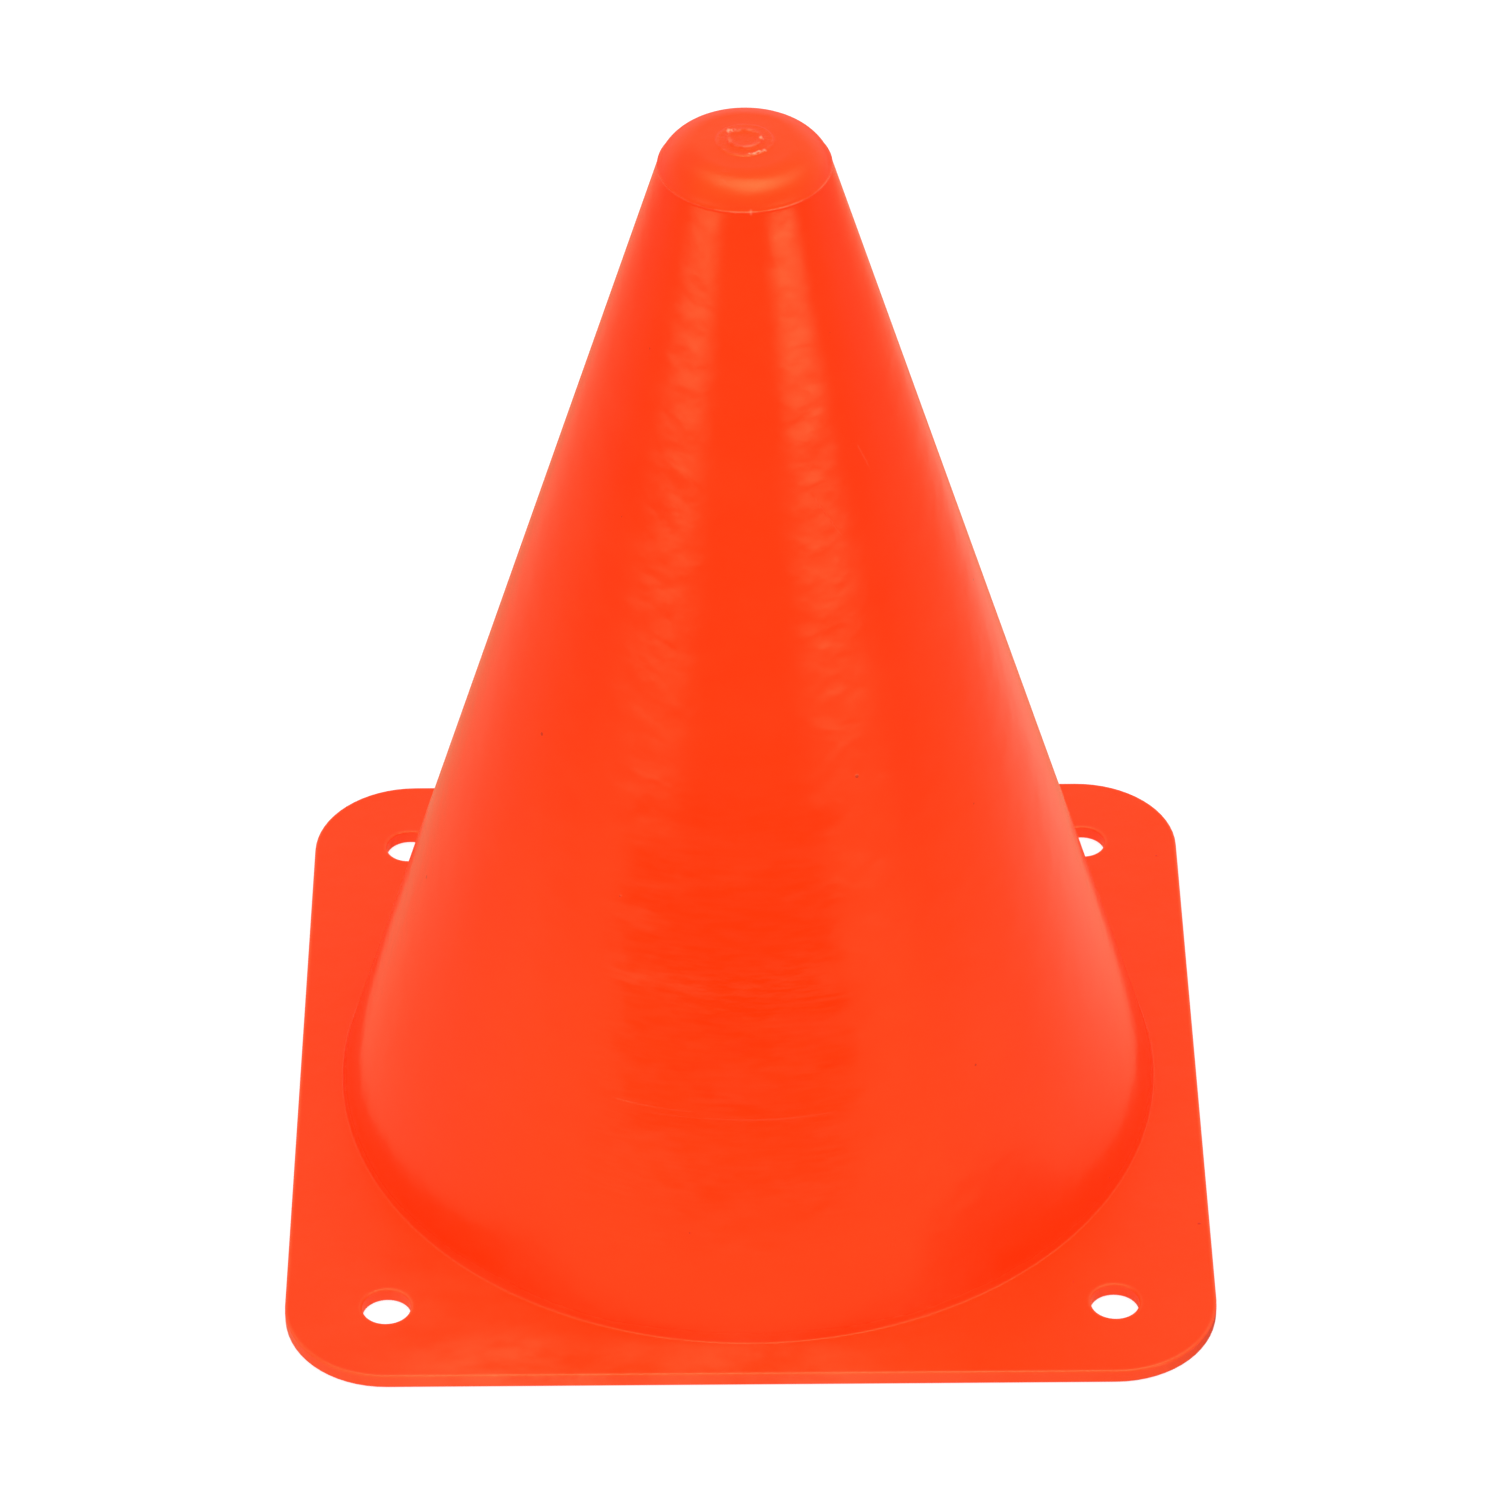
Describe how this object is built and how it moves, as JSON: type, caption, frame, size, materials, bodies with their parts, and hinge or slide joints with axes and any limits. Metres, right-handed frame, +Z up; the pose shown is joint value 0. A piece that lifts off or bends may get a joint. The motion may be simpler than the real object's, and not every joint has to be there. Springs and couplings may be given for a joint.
{
  "type": "agility cone",
  "caption": "Low training marker cone in soft plastic: hollow tapered body with a rounded closed top on a square flange with rounded corners and corner holes, open below for nesting.",
  "frame": {"origin": "middle of the flange's underside, on the ground plane", "axes": "+Z up along the cone's axis; the flange's sides run along X and Y"},
  "size_m": [0.142, 0.142, 0.1776],
  "materials": {
    "orange_plastic": "semi-gloss moulded soft plastic, lightly scuffed"
  },
  "bodies": {
    "root": {"cone_body": "orange_plastic"}
  },
  "joints": []
}
